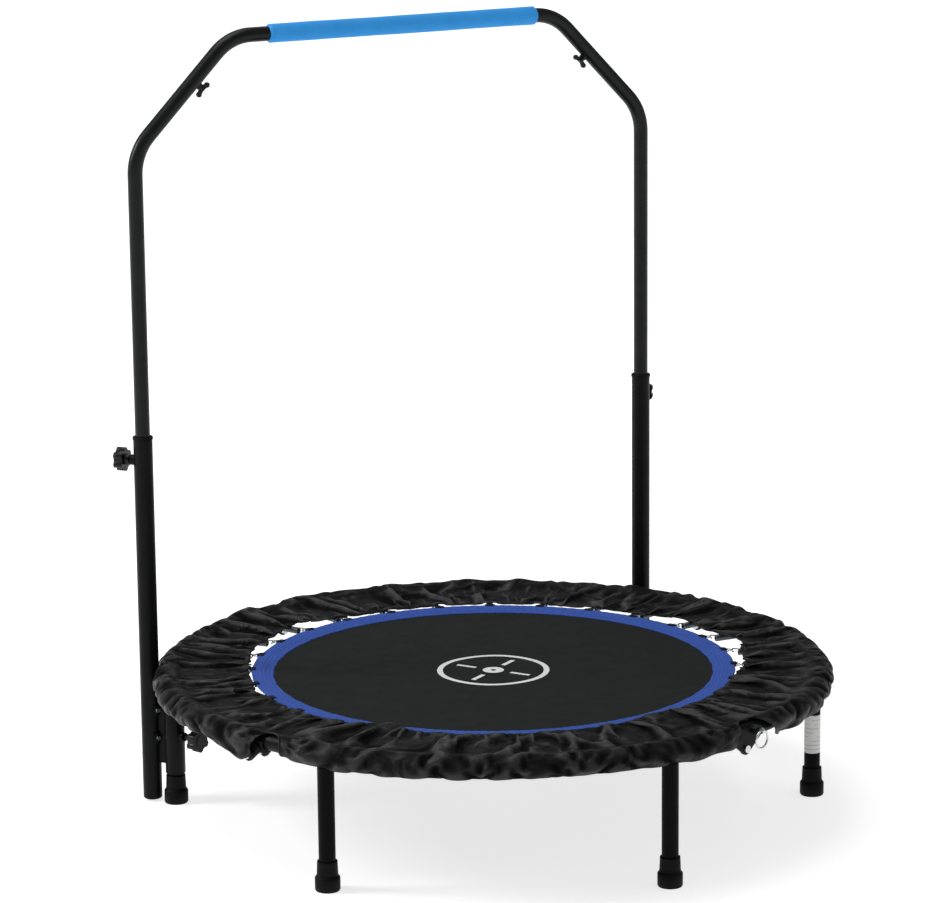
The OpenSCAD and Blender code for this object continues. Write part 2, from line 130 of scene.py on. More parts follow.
def ramp(m, fac, stops):
    """A colour ramp; stops are (place, colour or grey)."""
    n = add(m, "ValToRGB", {"Fac": fac})
    e = n.color_ramp.elements
    while len(e) < len(stops):
        e.new(0.5)
    for point, (at, c) in zip(e, stops):
        point.position = at
        point.color = (*((c,) * 3 if isinstance(c, (int, float)) else c), 1)
    return n.outputs["Color"]


def maths(m, what, a, b=None):
    """One sum on numbers or other nodes' outputs."""
    n = add(m, "Math", operation=what)
    for i, v in enumerate((a, b)):
        if v is None:
            continue
        if isinstance(v, (int, float)):
            n.inputs[i].default_value = v
        else:
            m.node_tree.links.new(v, n.inputs[i])
    return n.outputs[0]


def mixed(m, fac, a, b):
    """A mix of two colours, each a tuple or another node's output."""
    n = add(m, "MixRGB", {"Fac": fac})
    for label, v in (("Color1", a), ("Color2", b)):
        if isinstance(v, tuple):
            n.inputs[label].default_value = (*v, 1)
        else:
            m.node_tree.links.new(v, n.inputs[label])
    return n.outputs[0]


def drive(m, socket, out):
    """Joins an output to a socket of the material's own shader."""
    m.node_tree.links.new(out, m.node_tree.nodes["Principled BSDF"].inputs[socket])


def bump(m, heights):
    """Chains bumps; heights are (height output, strength, depth in metres)."""
    last = None
    for height, strength, depth in heights:
        n = add(m, "Bump", {"Height": height}, Strength=strength, Distance=depth)
        if last:
            m.node_tree.links.new(last, n.inputs["Normal"])
        last = n.outputs[0]
    drive(m, "Normal", last)


def painted(name, colour, rough, grain, strength, spec):
    """Powder coat, plastic, rubber or thread: fine grain, and slow changes in colour and gloss."""
    m = material(name, colour, rough, Specular_IOR_Level=spec)
    drift = noise(m, 9.0, detail=2.0)
    darker, lighter = (tuple(c * share for c in colour) for share in (0.75, 1.35))
    drive(m, "Base Color", mixed(m, drift, darker, lighter))
    fine = noise(m, grain, detail=2.0)
    drive(m, "Roughness", ramp(m, noise(m, 45.0, detail=4.0), [(0.3, rough - 0.05), (0.7, rough + 0.08)]))
    bump(m, [(fine, strength, 0.0003)])
    return m


def metal(name, colour, rough, scale=260.0):
    """Plated steel: fine spots that change its colour and its gloss."""
    m = material(name, colour, rough, 1.0)
    spots = noise(m, scale, detail=4.0, rough=0.6)
    darker, lighter = (tuple(min(1, c * share) for c in colour) for share in (0.72, 1.15))
    drive(m, "Base Color", mixed(m, spots, darker, lighter))
    drive(m, "Roughness", ramp(m, spots, [(0.3, rough - 0.07), (0.7, rough + 0.12)]))
    bump(m, [(noise(m, scale * 4, detail=2.0), 0.08, 0.0002)])
    return m


def woven(m, pitch, how="UV"):
    """A plain weave of that pitch, as a height: over-and-under crowns of two threads."""
    wave = math.pi / pitch
    sep = add(m, "SeparateXYZ", {"Vector": place(m, how)})
    u = maths(m, "SINE", maths(m, "MULTIPLY", sep.outputs["X"], wave))
    v = maths(m, "SINE", maths(m, "MULTIPLY", sep.outputs["Y"], wave))
    return maths(m, "ADD", maths(m, "MULTIPLY", maths(m, "MULTIPLY", u, v), 0.5), 0.5)


def label_paper():
    """White sticker with plain grey rules and no lettering."""
    m = material("label_paper", (0.70, 0.71, 0.69), 0.34, Specular_IOR_Level=0.4)
    paper = mixed(m, noise(m, 60.0), (0.58, 0.59, 0.56), (0.70, 0.71, 0.68))
    # plain ruled lines, broken here and there
    line_pitch = 0.0065
    sep = add(m, "SeparateXYZ", {"Vector": place(m)})
    wave = maths(m, "SINE", maths(m, "MULTIPLY", sep.outputs["Z"], 2 * math.pi / line_pitch))
    rules = maths(m, "GREATER_THAN", wave, 0.93)
    blots = noise(m, 1.0, stretched(m, "Object", (90.0, 90.0, 150.0)), detail=0.0)
    broken = maths(m, "GREATER_THAN", blots, 0.47)
    drive(m, "Base Color", mixed(m, maths(m, "MULTIPLY", rules, broken), paper, (0.30, 0.30, 0.30)))
    bump(m, [(noise(m, 300.0, detail=2.0), 0.1, 0.0002)])
    return m


def mat_cloth():
    """Tight polypropylene weave, with a plain white ring and spot to stand on."""
    m = material("mat_weave", (0.014, 0.0145, 0.013), 0.7, Specular_IOR_Level=0.03)
    weave = woven(m, 0.0016, "Object")
    drift = noise(m, 5.0, detail=3.0)
    streaks = noise(m, 1.0, stretched(m, "Object", (14.0, 260.0, 1.0), FOLD), detail=2.0)
    base = mixed(m, drift, (0.0150, 0.0164, 0.0155), (0.0186, 0.0203, 0.0192))
    base = mixed(m, maths(m, "MULTIPLY", streaks, 0.22), base, (0.0120, 0.0130, 0.0124))
    base = mixed(m, maths(m, "MULTIPLY", weave, 0.3), base, (0.026, 0.028, 0.0265))
    # the print: a ring, a spot and four short bars, worn a little by the weave
    sep = add(m, "SeparateXYZ", {"Vector": stretched(m, "Object", (1, 1, 1), -math.radians(30))})
    x, y = sep.outputs["X"], sep.outputs["Y"]
    r = maths(m, "SQRT", maths(m, "ADD", maths(m, "MULTIPLY", x, x), maths(m, "MULTIPLY", y, y)))

    def within(value, middle, half):
        """1 where the value lies no further than half from the middle, else 0."""
        return maths(m, "LESS_THAN", maths(m, "ABSOLUTE", maths(m, "SUBTRACT", value, middle)), half)

    ring = within(r, 0.080, 0.0042)
    spot = maths(m, "LESS_THAN", r, 0.016)
    cross = maths(m, "MAXIMUM", within(x, 0.0, 0.0036), within(y, 0.0, 0.0036))
    bars = maths(m, "MULTIPLY", cross, within(r, 0.046, 0.016))
    ink = maths(m, "MAXIMUM", ring, maths(m, "MAXIMUM", spot, bars))
    ink = maths(m, "MULTIPLY", ink, ramp(m, weave, [(0.02, 0.82), (0.2, 1.0)]))
    drive(m, "Base Color", mixed(m, ink, base, (0.78, 0.78, 0.77)))
    drive(m, "Roughness", ramp(m, noise(m, 30.0), [(0.3, 0.64), (0.7, 0.78)]))
    bump(m, [(weave, 0.3, 0.0003), (streaks, 0.12, 0.0005)])
    return m


def band_cloth():
    """Blue woven webbing: ribs round the ring and fine cross threads."""
    m = material("band_webbing", (0.035, 0.09, 0.35), 0.7, Specular_IOR_Level=0.08, Sheen_Weight=0.04)
    weave = woven(m, 0.0012)
    rows = noise(m, 1.0, stretched(m, "UV", (14.0, 420.0, 1.0)), detail=2.0)
    base = mixed(m, rows, (0.022, 0.062, 0.31), (0.050, 0.122, 0.47))
    base = mixed(m, maths(m, "MULTIPLY", weave, 0.3), base, (0.018, 0.052, 0.26))
    drive(m, "Base Color", base)
    bump(m, [(weave, 0.35, 0.0003), (rows, 0.3, 0.0004)])
    return m


def cover_cloth():
    """Thin coated polyester: fine weave, small creases and a soft shine, with painted shade in the valleys of
    its folds and painted highlights on their ridges.
    """
    m = material("cover_polyester", (0.0040, 0.0044, 0.0044), 0.40)
    weave = woven(m, 0.0009)
    creases = noise(m, 55.0, detail=5.0, rough=0.62, distortion=1.2)
    small = noise(m, 170.0, detail=3.0, rough=0.6)
    rumples = noise(m, 21.0, detail=2.0, rough=0.45, distortion=1.6)
    # painted shade and highlight: the folds' valleys are painted darker with little specular, the ridges
    # lighter with more specular
    relief = add(m, "Attribute", attribute_name="relief")
    extra = maths(m, "MULTIPLY", maths(m, "SUBTRACT", rumples, 0.5), 0.9)
    high = maths(m, "ADD", relief.outputs["Fac"], extra)
    base = ramp(m, high, [(0.15, 0.0042), (0.5, 0.0098), (0.9, 0.0290)])
    drive(m, "Base Color", mixed(m, maths(m, "MULTIPLY", weave, 0.3), base, (0.0070, 0.0074, 0.0074)))
    drive(m, "Specular IOR Level", ramp(m, high, [(0.15, 0.003), (0.5, 0.032), (0.9, 0.17)]))
    drive(m, "Roughness", ramp(m, noise(m, 24.0, detail=3.0), [(0.3, 0.36), (0.7, 0.50)]))
    heights = [(rumples, 0.75, 0.0080), (creases, 0.34, 0.0024), (small, 0.18, 0.0008), (weave, 0.22, 0.0002)]
    bump(m, heights)
    return m


def foam():
    """Closed-cell foam: matt, with tiny cells and a faint mottling."""
    m = material("grip_foam", (0.030, 0.22, 0.56), 0.72, Specular_IOR_Level=0.15, Sheen_Weight=0.03)
    cells = add(m, "TexVoronoi", {"Vector": place(m)}, Scale=620.0).outputs["Distance"]
    base = mixed(m, noise(m, 40.0, detail=4.0), (0.034, 0.305, 0.75), (0.044, 0.370, 0.88))
    drive(m, "Base Color", mixed(m, maths(m, "MULTIPLY", cells, 0.35), base, (0.024, 0.205, 0.55)))
    bump(m, [(cells, 0.35, 0.0004), (noise(m, 150.0), 0.15, 0.0005)])
    return m


LOOKS = {
    "tube_black": painted("powder_coat_black", (0.0036, 0.0039, 0.0039), 0.40, 1500.0, 0.14, 0.10),
    "tube_satin": painted("satin_enamel_black", (0.0042, 0.0050, 0.0050), 0.34, 1500.0, 0.10, 0.19),
    "hinge_black": painted("stamped_steel_black", (0.0034, 0.0035, 0.0034), 0.38, 900.0, 0.16, 0.12),
    "foot_rubber": painted("rubber_black", (0.0038, 0.0040, 0.0040), 0.56, 700.0, 0.3, 0.10),
    "plastic_black": painted("moulded_plastic_black", (0.0036, 0.0038, 0.0038), 0.32, 1100.0, 0.16, 0.22),
    "zinc": metal("zinc_plate", (0.66, 0.67, 0.69), 0.27),
    "spring_steel": metal("galvanised_spring_steel", (0.12, 0.135, 0.145), 0.34, 420.0),
    "label_white": label_paper(),
    "mat_black": mat_cloth(),
    "band_blue": band_cloth(),
    "cover_black": cover_cloth(),
    "grip_blue": foam(),
    # the legs: the frame's powder coat painted darker, as painted shade against the light the floor throws up
    # at them
    "leg_black_shaded": painted("leg_black_shaded", (0.0020, 0.0020, 0.0020), 0.45, 900.0, 0.25, 0.06),
    "webbing": painted("webbing_black", (0.007, 0.007, 0.007), 0.7, 800.0, 0.4, 0.12),
    "thread": painted("thread_blue", (0.034, 0.090, 0.38), 0.6, 1500.0, 0.3, 0.12),
}

# ---------------------------------------------------------------- mesh helpers


def mesh(name, verts, faces, slot, body=None, uv=None):
    """A smooth-shaded piece from arrays of points and of quads or polygons."""
    data = bpy.data.meshes.new(name)
    data.from_pydata(np.asarray(verts, float).tolist(), [], [list(map(int, f)) for f in faces])
    data.polygons.foreach_set("use_smooth", [True] * len(data.polygons))
    if uv is not None:
        layer = data.uv_layers.new(name="UVMap")
        loops = np.zeros(len(data.loops), int)
        data.loops.foreach_get("vertex_index", loops)
        layer.data.foreach_set("uv", np.asarray(uv, np.float32)[loops].ravel())
    data.materials.append(LOOKS[slot])
    data.validate()
    o = bpy.data.objects.new(name, data)
    bpy.context.scene.collection.objects.link(o)
    if body:
        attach(o, body)
    return o


def quads(n, m, closed, base=0, flip=False):
    """Faces of a grid of n by m points, closed round its first side or not."""
    i, j = np.meshgrid(np.arange(n if closed else n - 1), np.arange(m - 1), indexing="ij")
    k = (i + 1) % n
    f = np.stack([i * m + j, k * m + j, k * m + j + 1, i * m + j + 1], -1).reshape(-1, 4) + base
    return f[:, ::-1] if flip else f


def shell(points, thick):
    """Points and faces of a closed cloth with that thickness, from an n by m grid closed round n."""
    n, m = points.shape[:2]
    along = np.roll(points, -1, 0) - np.roll(points, 1, 0)
    out = np.gradient(points, axis=1)
    normal = np.cross(out, along)
    normal /= np.maximum(np.linalg.norm(normal, axis=2, keepdims=True), 1e-12)
    under = points - normal * thick
    v = np.concatenate([points.reshape(-1, 3), under.reshape(-1, 3)])
    i = np.arange(n)
    k = (i + 1) % n
    size = n * m
    first = np.stack([i * m, k * m, k * m + size, i * m + size], -1)
    last = first + (m - 1)
    # the grid's own winding faces against the normal used above
    return v, np.concatenate([quads(n, m, True, flip=True), quads(n, m, True, size), first, last[:, ::-1]])


def grid_uv(points):
    """Lengths along both sides of a grid, in metres, as the UV of its upper and its under face."""
    n, m = points.shape[:2]
    step = np.linalg.norm(np.roll(points, -1, 0) - points, axis=2).mean(1)
    u = np.concatenate([[0], np.cumsum(step)[:-1]])[:, None] * np.ones((1, m))
    v = np.concatenate([[0], np.cumsum(np.linalg.norm(np.diff(points, axis=1), axis=2).mean(0))])
    uv = np.stack([u, np.ones((n, 1)) * v[None]], -1).reshape(-1, 2)
    return np.concatenate([uv, uv])


def sweep(path, radius, sides):
    """A round wire along a path, with closed ends."""
    p = np.asarray(path, float)
    t = np.gradient(p, axis=0)
    t /= np.linalg.norm(t, axis=1, keepdims=True)
    side = np.cross(t[0], [0.31, 0.22, 0.93])
    side /= np.linalg.norm(side)
    rows = []
    a = np.linspace(0, 2 * math.pi, sides, endpoint=False)
    for k in range(len(p)):
        side = side - t[k] * np.dot(side, t[k])
        side /= np.linalg.norm(side)
        up = np.cross(t[k], side)
        rows.append(p[k] + radius * (np.cos(a)[:, None] * side + np.sin(a)[:, None] * up))
    n = len(p)
    v = np.concatenate(rows)
    i, j = np.meshgrid(np.arange(n - 1), np.arange(sides), indexing="ij")
    k = (j + 1) % sides
    f = np.stack([i * sides + j, i * sides + k, (i + 1) * sides + k, (i + 1) * sides + j], -1).reshape(-1, 4)
    ends = [list(range(sides))[::-1], list(range((n - 1) * sides, n * sides))]
    return v, [*f.tolist(), *ends]


def joined(parts):
    """One array of points and one list of faces from several."""
    v, f, base = [], [], 0
    for pv, pf in parts:
        v.append(pv)
        f.extend([[i + base for i in face] for face in pf])
        base += len(pv)
    return np.concatenate(v), f


def turned(points, a):
    """Points turned about the vertical axis."""
    c, s = math.cos(a), math.sin(a)
    return np.asarray(points) @ np.array([[c, s, 0], [-s, c, 0], [0, 0, 1]])


def at_springs(v, f, side):
    """A shape made along +X, repeated at every spring of one half."""
    turns = [FOLD + side + math.radians(SPRING_STEP) * (i + 0.5) for i in range(SPRINGS // 2)]
    return joined([(turned(v, a), f) for a in turns])


def ease(x):
    """A smooth step from 0 to 1."""
    x = np.clip(x, 0, 1)
    return x * x * (3 - 2 * x)


def across_fold(o):
    """A cloth piece that lies across the fold axis: bakes its placement into its own points."""
    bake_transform(o)


# ---------------------------------------------------------------- mat, band, rings and springs


def sag(r):
    """How far the mat lies below its rings' level at a radius; it rises to them under the band."""
    return SAG * (1 - ease((r - 0.318) / 0.042))


def make_mat():
    """Disc of cloth under the band, pulled a little at each spring."""
    n, thick = 336, 0.0013
    r = np.concatenate([np.linspace(0.004, 0.30, 26), np.linspace(0.31, BAND_R - 0.001, 12)])
    a = np.arange(n) * 2 * math.pi / n
    rr, aa = np.meshgrid(r, a)
    pull = 0.5 + 0.5 * np.cos(SPRINGS * (aa - FOLD - math.pi / SPRINGS))
    dish = 0.0006 * (1 - (rr / 0.33) ** 2).clip(0)
    z = MAT_Z - 0.00005 - sag(rr) - dish + 0.0002 * pull * ease((rr - 0.30) / 0.05)
    z += 0.0002 * np.sin(5 * aa + 40 * rr) * ease(rr / 0.1) * ease((0.33 - rr) / 0.05)
    p = np.stack([rr * np.cos(aa), rr * np.sin(aa), z], -1)
    v, f = shell(p, thick)
    size = len(v) // 2
    m = len(r)
    # the inner rim gives way to two flat faces that close the middle
    hub = [[i * m for i in range(n)][::-1], [i * m + size for i in range(n)]]
    faces = [list(q) for q in f[: -2 * n]] + [list(q) for q in f[-n:]] + hub
    o = mesh("mat_cloth", v, faces, "mat_black")
    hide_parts("mat_rear", "mat_front")
    across_fold(o)
    return o


def make_band():
    """Blue webbing ring on the mat's rim: six soft ribs, with channels for the stitches between them."""
    n, m = 1080, 45
    a = np.arange(n) * 2 * math.pi / n
    r = np.linspace(MAT_R - 0.0004, BAND_R, m)
    rr, aa = np.meshgrid(r, a)
    x = (rr - MAT_R) / (BAND_R - MAT_R)
    wobble = 0.012 * np.sin(9 * aa + 1) + 0.008 * np.sin(23 * aa)
    rows = np.abs(np.sin(math.pi * (x * 6.0 + wobble)))
    edge = ease((rr - r[0]) / 0.0016) * ease((r[-1] - rr) / 0.0014)
    z = MAT_Z + 0.0004 - sag(rr) + edge * (0.00055 + 0.00055 * rows**0.6)
    z += 0.00022 * edge * np.sin(170 * aa + 3 * np.sin(14 * aa)) * (0.4 + 0.6 * rows)
    rr = rr + 0.0005 * np.sin(31 * aa + 2) * (x > 0.9) + 0.0004 * np.sin(47 * aa) * (x < 0.1)
    p = np.stack([rr * np.cos(aa), rr * np.sin(aa), z], -1)
    v, f = shell(p, 0.0006)
    return mesh("mat_band", v, f, "band_blue", uv=grid_uv(p))


def make_stitches():
    """Thread dashes lying in the band's channels."""
    parts = []
    per_row, half_length, wire = 300, 0.0031, 0.00026
    for row in range(1, 6):
        r = MAT_R + (BAND_R - MAT_R) * row / 6
        level = MAT_Z - sag(r)
        for i in range(per_row):
            a0 = 2 * math.pi * (i + 0.37 * (row % 3)) / per_row
            s = np.linspace(-1, 1, 5)
            a = a0 + s * (half_length / r)
            z = level + 0.00095 + 0.00025 * (1 - s**2)
            path = np.stack([r * np.cos(a), r * np.sin(a), z], -1)
            parts.append(sweep(path, wire, 4))
    v, f = joined(parts)
    return mesh("band_stitches", v, f, "thread")


band = make_band()
stitches = make_stitches()
for o in (band, stitches):
    across_fold(o)
mat_piece = make_mat()


def spring_path():
    """One spring along +x: hook in the mat ring, closed coil, hook through the ring tube."""
    axis_z, wire_at = 0.2003, 0.0046
    hook = []
    hook_x, hook_z, hook_r = 0.3766, MAT_Z - 0.0002, 0.0024  # round the mat ring's tip
    for t in np.linspace(-0.75 * math.pi, 0.5 * math.pi, 12):
        hook.append((hook_x - hook_r * math.cos(t) - 0.0004, 0.0, hook_z - 0.0010 + hook_r * math.sin(t)))
    start, length, turns = 0.3840, 0.068, 35
    lead = [(start - 0.003, 0.0, axis_z + wire_at + 0.0004)]
    s = np.linspace(0, 1, turns * 10 + 1)
    ang = math.pi / 2 + s * turns * 2 * math.pi
    coil = np.stack([start + s * length, wire_at * np.cos(ang), axis_z + wire_at * np.sin(ang)], -1)
    tail = [(start + length + 0.004, 0.0, axis_z + wire_at + 0.0002), (0.464, 0.0, MAT_Z),
            (0.4668, 0.0, MAT_Z), (0.4692, 0.0, MAT_Z - 0.0006), (0.4706, 0.0, MAT_Z - 0.0024)]
    return np.concatenate([hook, lead, coil, tail])


def make_springs():
    """The springs between the mat's rings and the frame, half of them on each half."""
    wire = 0.00094
    v0, f0 = sweep(spring_path(), wire, 6)
    for side, name in HALVES:
        v, f = at_springs(v0, f0, side)
        o = mesh(f"spring_set_{name}", v, f, "spring_steel", f"{name}_half")
        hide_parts(f"springs_{name}")


def make_pin_springs():
    """The small coil round each pull pin, pressed against its housing's outer wall as the pin is drawn."""
    inner, outer, wire = 0.4991, 0.5046, 0.00032
    s = np.linspace(0, 1, 121)
    turn = s * 5 * 2 * math.pi
    rise = np.clip((s - 0.1) / 0.8, 0, 1)  # closed turns at both ends
    x = inner + wire + 0.0001 + (outer - inner - 2 * wire - 0.0002) * rise
    y, z = 0.018 + 0.0042 * np.cos(turn), 0.204 + 0.0042 * np.sin(turn)
    v0, f = sweep(np.stack([x, y, z], -1), wire, 8)
    for name, body, hinge in (("back", "rear_half", HINGES[1]), ("front", "front_half", HINGES[3])):
        a = math.radians(hinge)
        o = mesh(f"pin_coil_{name}", turned(v0, a), f, "spring_steel", body)
        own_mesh(o)
        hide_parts(f"pin_spring_{name}")


def make_tabs():
    """Black webbing loops that hold the wire rings to the edge of the mat."""
    half_width, half_thick = 0.0068, 0.0004
    line = []
    for q in np.linspace(0, 1, 9):
        line.append((0.3560 + 0.0072 * q, 0.2068 + 0.0004 * math.sin(math.pi * q) + 0.0003 * q))
    for ang in np.linspace(math.radians(80), math.radians(-80), 9):
        line.append((0.3643 + 0.0018 * math.cos(ang), MAT_Z + 0.0019 * math.sin(ang)))
    for q in np.linspace(0, 1, 7):
        line.append((0.3632 - 0.0072 * q, 0.2030 - 0.0001 * q))
    line = np.array(line)
    y = np.linspace(-half_width, half_width, 7)
    crown = 1 - 0.12 * (np.abs(y) / half_width) ** 3
    d = np.gradient(line, axis=0)
    d /= np.linalg.norm(d, axis=1, keepdims=True)
    normal = np.stack([-d[:, 1], d[:, 0]], -1)
    v, n, m = [], len(line), len(y)
    for s in (1, -1):
        for k in range(n):
            for j in range(m):
                q = line[k] + s * half_thick * crown[j] * normal[k]
                v.append((q[0], y[j], q[1]))
    size = n * m
    f = [list(q) for q in quads(n, m, False)] + [list(q[::-1]) for q in quads(n, m, False, size)]
    for k in range(n - 1):
        for j in (0, m - 1):
            q = [k * m + j, (k + 1) * m + j, (k + 1) * m + j + size, k * m + j + size]
            f.append(q if j else q[::-1])
    for j in range(m - 1):
        for k in (0, n - 1):
            q = [k * m + j, k * m + j + 1, k * m + j + 1 + size, k * m + j + size]
            f.append(q[::-1] if k else q)
    return [mesh(f"ring_tabs_{name}", *at_springs(np.array(v), f, side), "webbing", f"{name}_half")
            for side, name in HALVES]


def make_rings():
    """Wire triangles with rounded corners: the long side lies in its webbing loop, the tip takes the hook."""
    wire, corner = 0.0014, 0.0024
    tips = np.array([(0.3644, -0.0088), (0.3644, 0.0088), (0.3757, 0.0)])
    path = []
    for k in range(3):
        a, b, c = tips[k - 1], tips[k], tips[(k + 1) % 3]
        u, w = (a - b) / np.linalg.norm(a - b), (c - b) / np.linalg.norm(c - b)
        for t in np.linspace(0, 1, 6):
            sharper = 1.0 if k < 2 else 0.8
            path.append(b + corner * ((1 - t) ** 2 * u + t**2 * w) * sharper)
    path = np.array([(x, y, MAT_Z) for x, y in path] + [(*path[0], MAT_Z)])
    path[-1] = path[0] + (path[1] - path[0]) * 0.02  # the wire's end laps its start a little
    v0, f0 = sweep(path, wire, 8)
    for side, name in HALVES:
        v, f = at_springs(v0, f0, side)
        o = mesh(f"ring_wires_{name}", v, f, "zinc", f"{name}_half")
        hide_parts(f"mat_rings_{name}")


make_springs()
make_pin_springs()
make_rings()
tabs = make_tabs()
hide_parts("mat_band_rear", "mat_band_front")

# ---------------------------------------------------------------- cover

EDGE_R = 0.3625  # the elastic inner edge, where it lies along the band's rim
# where the edge swings off that circle: angle, reach to each side in degrees, how far outwards
SWINGS = ((10, 9, 0.0325), (28, 5, 0.006), (110.5, 9.5, 0.034), (130, 11, 0.018), (170, 45, 0.0025),
          (169.5, 3.5, 0.008), (188, 5, 0.003), (213.5, 5, -0.026), (270, 50, -0.0045), (280, 6, -0.010),
          (332, 9, 0.015), (349, 9.5, 0.038))
ROUND_R = 0.5  # lengths round the cover are measured at this radius
POST_CLEAR = 0.0185  # from a post's axis to the cover that is pressed in by it
# what the cover lies over: the springs' top, the frame tube's outside and the hinges' plates
SPRING_TOP, SKIRT_R, PLATE_R = 0.2068, 0.4946, 0.5027
WIDEST, HIGHEST = 0.5125, 0.2250  # the cover stays within these


def to_polar(p):
    """Radius and angle of points round the vertical axis."""
    return np.hypot(p[..., 0], p[..., 1]), np.arctan2(p[..., 1], p[..., 0])


def away(angle, degrees):
    """Distance round the cover from an angle in degrees, in metres."""
    return ((angle - math.radians(degrees) + math.pi) % (2 * math.pi) - math.pi) * ROUND_R


def edge_radius(angle):
    """Radius of the elastic inner edge: a circle with a few swings, caught on the springs at the back."""
    r = np.full_like(angle, EDGE_R)
    for middle, reach, out in SWINGS:
        r += out * np.exp(-(np.degrees(away(angle, middle)) / ROUND_R / reach) ** 2)
    degrees = np.degrees(angle)
    from_spring = (degrees - FOLD_DEGREES) % SPRING_STEP - SPRING_STEP / 2
    at_back = ease((degrees - 21) / 6) * ease((109 - degrees) / 6)
    return r + 0.0055 * at_back * np.exp(-(from_spring / 2.4) ** 2)


def keep_clear(p, side):
    """Moves cloth points off the tube, springs, hinges and posts. side is 1 on the skirt and 0 on the top."""
    r, t = to_polar(p)
    z = p[..., 2]
    dr, dz = r - RING_R, z - RING_Z
    d = np.maximum(np.hypot(dr, dz), 1e-6)
    out = np.maximum(TUBE_R + 0.0015 - d, 0) / d
    r2, z = r + dr * out, z + dz * out
    step = 2 * math.pi / SPRINGS
    from_spring = np.abs((t - FOLD) % step - step / 2) * r2
    low = SPRING_TOP + 0.0021 * ease((0.0140 - from_spring) / 0.005) * (r2 < 0.378)
    z = np.where((r2 < 0.460) & (side < 0.5), np.maximum(z, low), z)
    skirt = (side > 0.5) & (z < 0.210)
    r2 = np.where(skirt & (z > 0.1875), np.maximum(r2, SKIRT_R), r2)
    for h in HINGES:
        close = ease((0.046 - np.abs(away(t, h))) / 0.012)
        r2 = np.where(skirt, np.maximum(r2, r2 + close * (PLATE_R - r2)), r2)
    # the skirt hangs no lower than this, which dips where a flap is loose beside the left hinge
    lowest = 0.1796 - 0.0125 * np.exp(-((away(t, 195) + 0.020) / 0.020) ** 2)
    z = np.where(side > 0.5, np.maximum(z, lowest), z)
    for x in (-POST_XY[0], POST_XY[0]):  # pressed in by the two posts
        at = math.degrees(math.atan2(POST_XY[1], x))
        limit = math.hypot(*POST_XY) - POST_CLEAR * np.exp(-((away(t, at) / 0.021) ** 2))
        r2 = np.where((z < 0.2165) & (np.abs(away(t, at)) < 0.06), np.minimum(r2, limit), r2)
    r2 = np.minimum(r2, WIDEST)
    z = np.minimum(z, HIGHEST)
    scale = r2 / np.maximum(r, 1e-6)
    return np.stack([p[..., 0] * scale, p[..., 1] * scale, z], -1)


def settle(p, round_rest, across_rest, side, held, rounds, soft):
    """Lets gathered cloth find its folds: threads keep their lengths, bends stay soft, nothing is entered."""
    n, m = p.shape[:2]
    slant = np.hypot(round_rest[:, 1:], across_rest)

    def pull(d, rest, k):
        """How far both ends of a thread move to bring it nearer to its own length."""
        length = np.maximum(np.linalg.norm(d, axis=-1), 1e-6)
        return (0.5 * k * (1 - rest / length))[..., None] * d

    first = [np.arange(odd, n, 2) for odd in (0, 1)]
    sink = 0.00003  # the top's own weight, in each round
    for _ in range(rounds):
        p[..., 2] -= sink * (1 - side)
        for i in first:
            k = (i + 1) % n
            fix = pull(p[k] - p[i], round_rest[i], 0.9)
            p[i] += fix
            p[k] -= fix
        for odd in (0, 1):
            u, w = slice(odd, m - 1, 2), slice(odd + 1, m, 2)
            fix = pull(p[:, w] - p[:, u], across_rest[:, u], 0.9)
            p[:, u] += fix
            p[:, w] -= fix
        for i in first:
            k = (i + 1) % n
            for u, w in ((slice(0, m - 1), slice(1, m)), (slice(1, m), slice(0, m - 1))):
                fix = pull(p[k, w] - p[i, u], slant[i], 0.16)
                p[i, u] += fix
                p[k, w] -= fix
        bend = np.roll(p, 1, 0) + np.roll(p, -1, 0) - 2 * p
        p += soft * 0.5 * bend
        p[:, 1:-1] += soft * 0.25 * (p[:, 2:] + p[:, :-2] - 2 * p[:, 1:-1])
        p = held(keep_clear(p, side))
    return p


